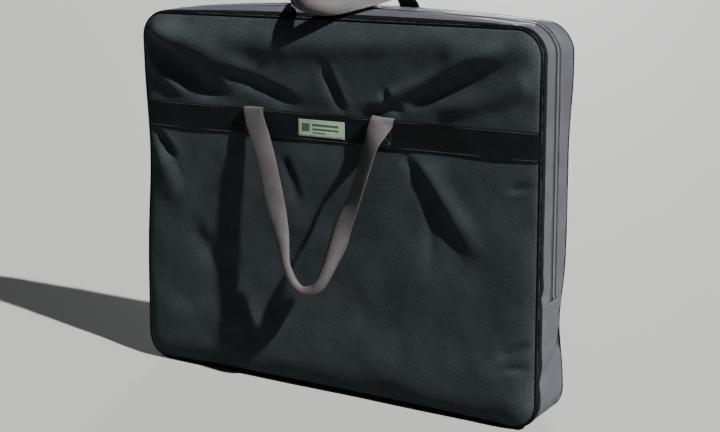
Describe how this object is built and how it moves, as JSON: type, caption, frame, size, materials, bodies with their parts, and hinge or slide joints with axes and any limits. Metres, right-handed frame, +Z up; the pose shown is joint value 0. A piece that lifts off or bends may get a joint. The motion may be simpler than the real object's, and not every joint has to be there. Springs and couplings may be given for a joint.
{
  "type": "carrying bag",
  "caption": "Flat zipped cloth carrying bag for a folded display rack, with piped edges, webbing bands, two webbing handles and a front that folds open.",
  "frame": {"origin": "middle of the base, on the surface that the bag stands on", "axes": "+Z up, the front with the label faces -Y, +X runs along the wide side to the viewer's right"},
  "size_m": [0.8271, 0.1773, 0.692],
  "materials": {
    "panel_cloth": "coated woven polyester, dark charcoal",
    "gusset_cloth": "coated woven polyester, dark charcoal",
    "foam": "thin soft foam, grey",
    "lining": "thin woven lining, black",
    "band_webbing": "ribbed polyester webbing, black",
    "handle_webbing": "ribbed polypropylene webbing, black with a soft sheen",
    "piping": "cord covered in smooth black tape",
    "binding": "woven black tape",
    "zip_tape": "woven black tape",
    "zip_coil": "black nylon coil",
    "zip_metal": "black enamel",
    "stop_metal": "satin",
    "board": "fluted plastic board",
    "label_cloth": "pale green woven label",
    "label_thread": "pale thread",
    "thread": "dark grey thread"
  },
  "bodies": {
    "shell": {"band_rear": "band_webbing", "band_rear_thread": "thread", "binding_front_lower": "binding", "binding_rear": "binding", "bottom_board": "board", "bottom_lining": "lining", "front_foam_lower": "foam", "front_lining_lower": "lining", "front_panel_lower": "panel_cloth", "gusset_bottom": "gusset_cloth", "gusset_rear": "gusset_cloth", "handle_rear_ends": "handle_webbing", "handle_rear_tacks": "thread", "piping_front_lower": "piping", "piping_rear": "piping", "rear_foam": "foam", "rear_lining": "lining", "rear_panel": "panel_cloth", "zip_coil_rear": "zip_coil", "zip_end_left": "gusset_cloth", "zip_end_right": "gusset_cloth", "zip_stop_left": "stop_metal", "zip_stop_right": "stop_metal", "zip_tape_rear": "zip_tape"},
    "flap": {"front_panel_upper": "panel_cloth", "front_foam_upper": "foam", "front_lining_upper": "lining", "gusset_front": "gusset_cloth", "zip_tape_front": "zip_tape", "zip_coil_front": "zip_coil", "piping_front_upper": "piping", "binding_front_upper": "binding", "band_front": "band_webbing", "band_front_thread": "thread", "label": "label_cloth", "label_thread": "label_thread", "handle_front_ends": "handle_webbing", "handle_front_tacks": "thread"},
    "front_handle": {"handle_front": "handle_webbing"},
    "rear_handle_legs": {"handle_rear_legs": "handle_webbing"},
    "rear_handle_loop": {"handle_rear_loop": "handle_webbing"},
    "slider": {"zip_slider": "zip_metal"},
    "pull": {"zip_pull": "zip_metal"}
  },
  "joints": [
    {"name": "front_fold", "type": "hinge", "parent": "shell", "child": "flap", "pos_m": [0, -0.058, 0.195], "axis": [1, 0, 0], "range_deg": [0, 90]},
    {"name": "front_handle_swing", "type": "hinge", "parent": "flap", "child": "front_handle", "pos_m": [0, -0.0603, 0.511], "axis": [-1, 0, 0], "range_deg": [0, 140]},
    {"name": "rear_handle_swing", "type": "hinge", "parent": "shell", "child": "rear_handle_legs", "pos_m": [0, 0.0612, 0.511], "axis": [-1, 0, 0], "range_deg": [0, 170]},
    {"name": "rear_handle_bend", "type": "hinge", "parent": "rear_handle_legs", "child": "rear_handle_loop", "pos_m": [0, 0.0612, 0.69], "axis": [-1, 0, 0], "range_deg": [0, 90]},
    {"name": "zip_slide", "type": "slide", "parent": "shell", "child": "slider", "axis": [0, 0, 1], "range_m": [0, 0.36]},
    {"name": "pull_swing", "type": "hinge", "parent": "slider", "child": "pull", "pos_m": [-0.4139, 0.005, 0.229], "axis": [0, 1, 0], "range_deg": [0, 160]}
  ]
}
